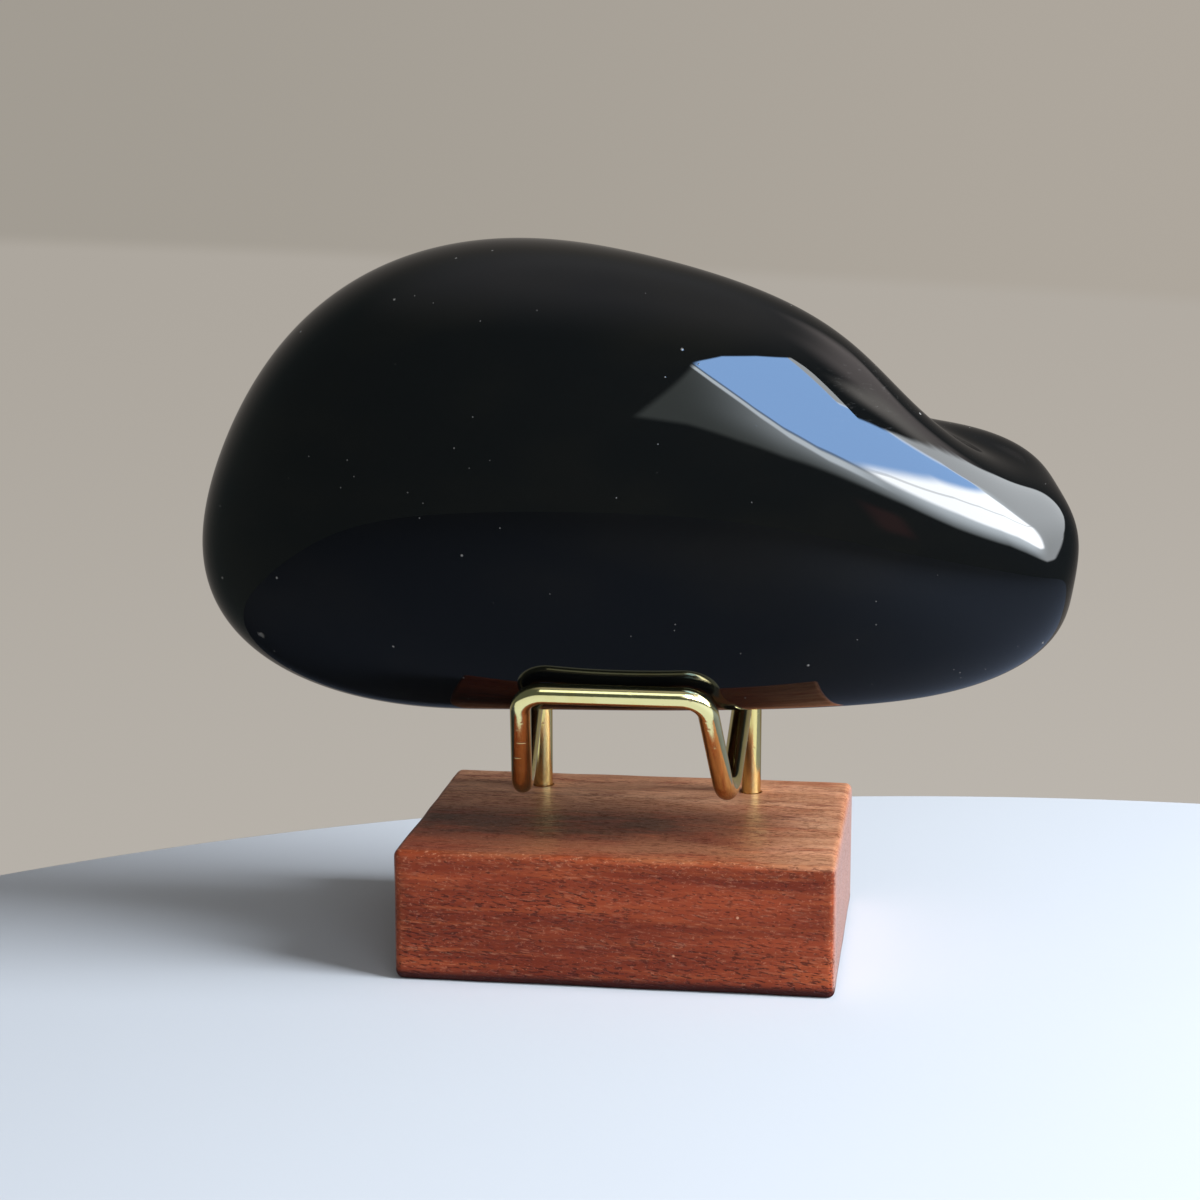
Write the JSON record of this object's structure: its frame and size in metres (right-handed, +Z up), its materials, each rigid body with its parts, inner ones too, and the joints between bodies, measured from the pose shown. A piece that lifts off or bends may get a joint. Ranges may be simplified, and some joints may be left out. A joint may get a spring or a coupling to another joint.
{
  "type": "polished obsidian chunk on a stand",
  "caption": "Polished black obsidian freeform resting in a bent brass rod cradle that stands in a small hardwood block.",
  "frame": {"origin": "middle of the wood base's underside, which rests on the table", "axes": "+Z up; X along the block's long side and the stone's length, the stone's thin end towards +X; -Y is the front, where the cradle's bar holds the stone"},
  "size_m": [0.1348, 0.0565, 0.1115],
  "materials": {
    "obsidian": "polished to a glassy black gloss",
    "brass": "bright drawn rod, lightly polished",
    "hardwood": "reddish hardwood with fine dark pores, satin oiled"
  },
  "bodies": {
    "root": {"stone": "obsidian", "brass_cradle": "brass", "wood_base": "hardwood"}
  },
  "joints": []
}
